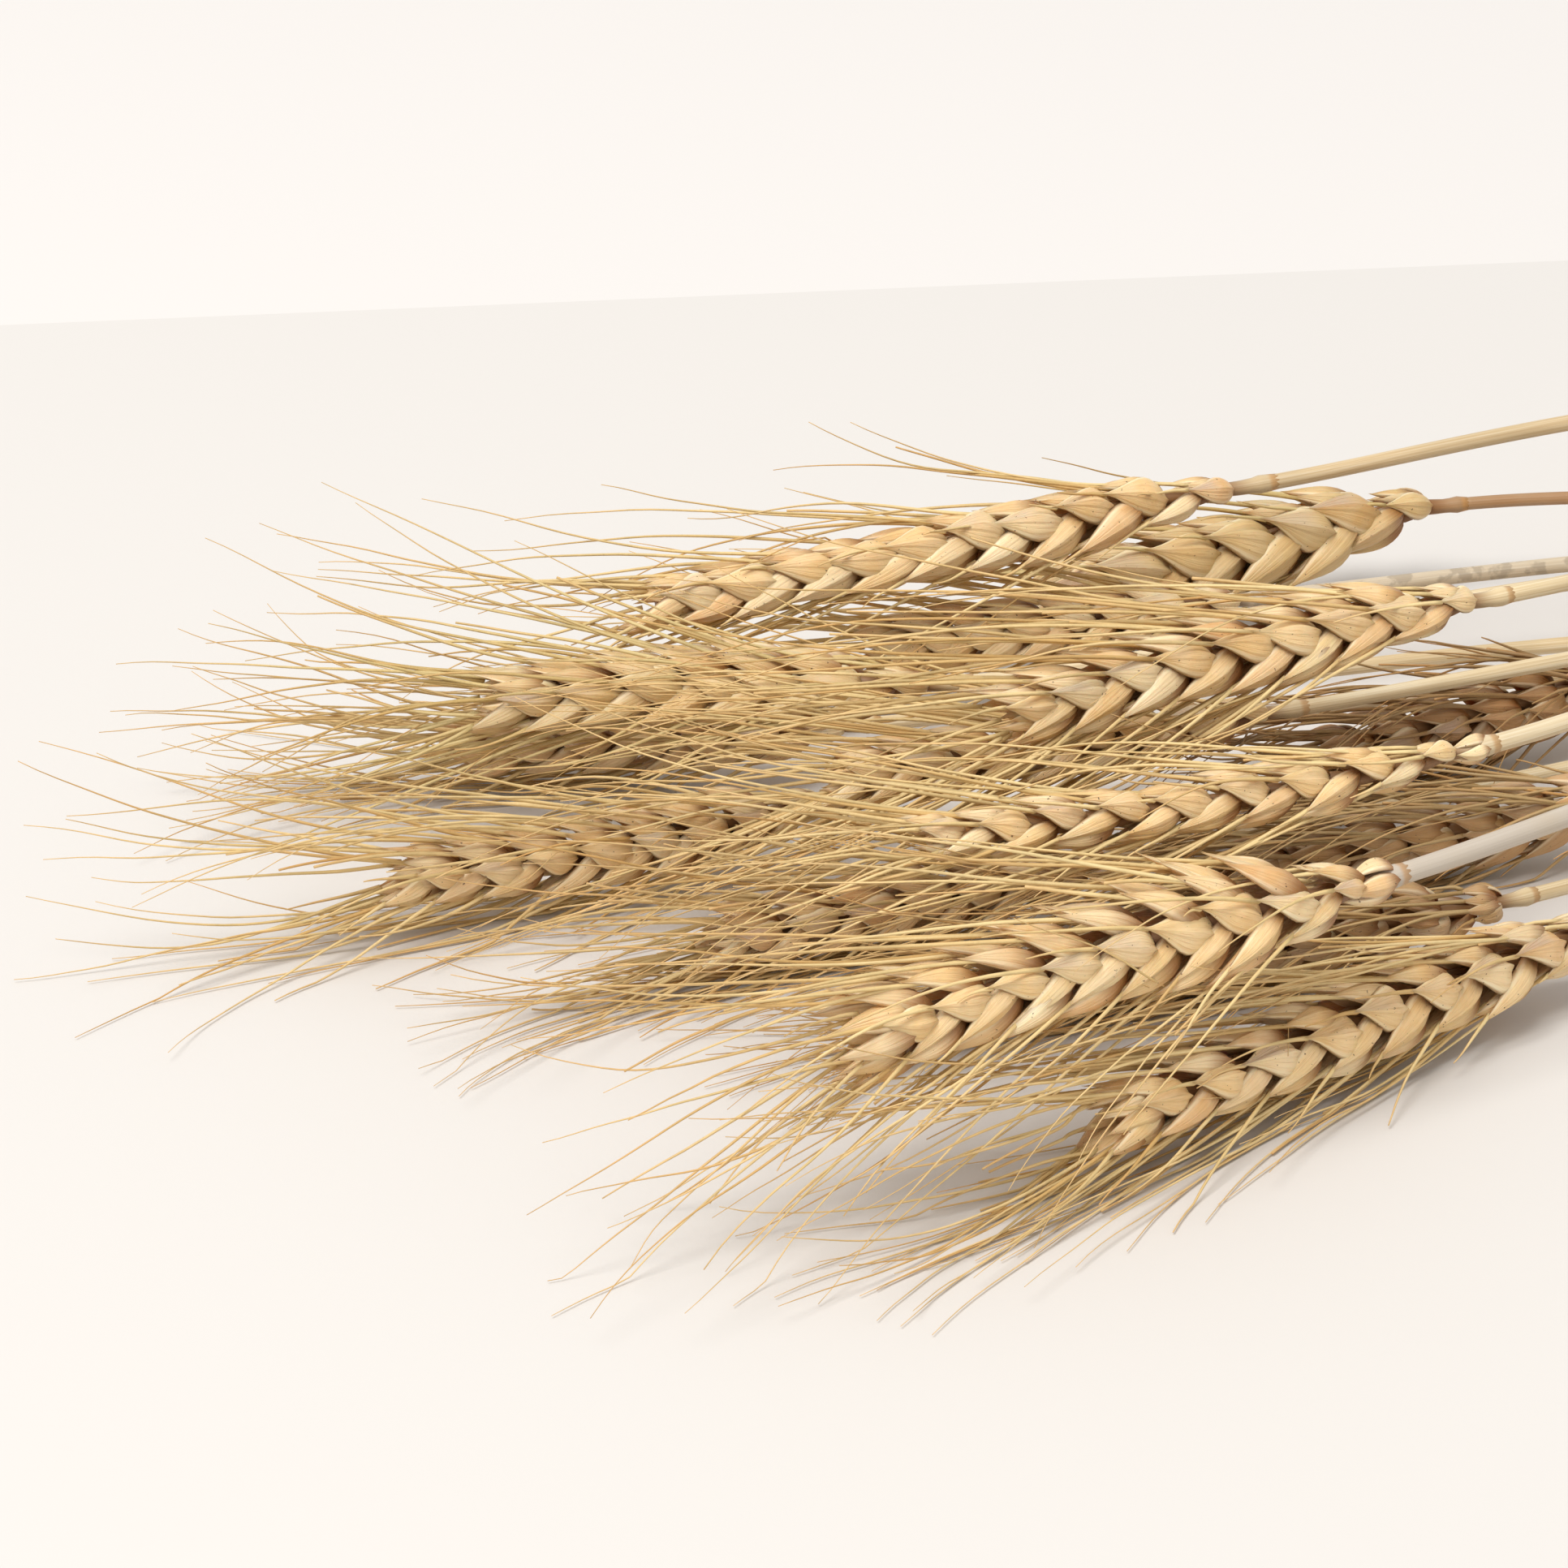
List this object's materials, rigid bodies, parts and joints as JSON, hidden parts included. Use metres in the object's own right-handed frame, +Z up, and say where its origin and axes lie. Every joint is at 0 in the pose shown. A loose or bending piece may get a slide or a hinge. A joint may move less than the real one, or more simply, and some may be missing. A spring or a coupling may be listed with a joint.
{
  "type": "bundle of dried wheat",
  "caption": "Tied bundle of dried bearded wheat that lies on a surface: ears with long awns on slender straws held by a wound twine tie.",
  "frame": {"origin": "on the surface the bundle lies on, below the middle of its bounding box", "axes": "+X from the awn tips along the bundle to the cut ends of the straws, +Z up from the surface, +Y to the far side in the picture"},
  "size_m": [0.492, 0.1952, 0.0637],
  "materials": {
    "husk": "dry satin husk",
    "straw": "satin straw",
    "twine": "rough plant-fibre twine"
  },
  "bodies": {
    "root": {"ear_01": "husk", "straw_01": "straw", "ear_02": "husk", "straw_02": "straw", "ear_03": "husk", "straw_03": "straw", "ear_04": "husk", "straw_04": "straw", "ear_05": "husk", "straw_05": "straw", "ear_06": "husk", "straw_06": "straw", "ear_07": "husk", "straw_07": "straw", "ear_08": "husk", "straw_08": "straw", "ear_09": "husk", "straw_09": "straw", "ear_10": "husk", "straw_10": "straw", "ear_11": "husk", "straw_11": "straw", "ear_12": "husk", "straw_12": "straw", "ear_13": "husk", "straw_13": "straw", "ear_14": "husk", "straw_14": "straw", "ear_15": "husk", "straw_15": "straw", "twine_tie": "twine"}
  },
  "joints": []
}
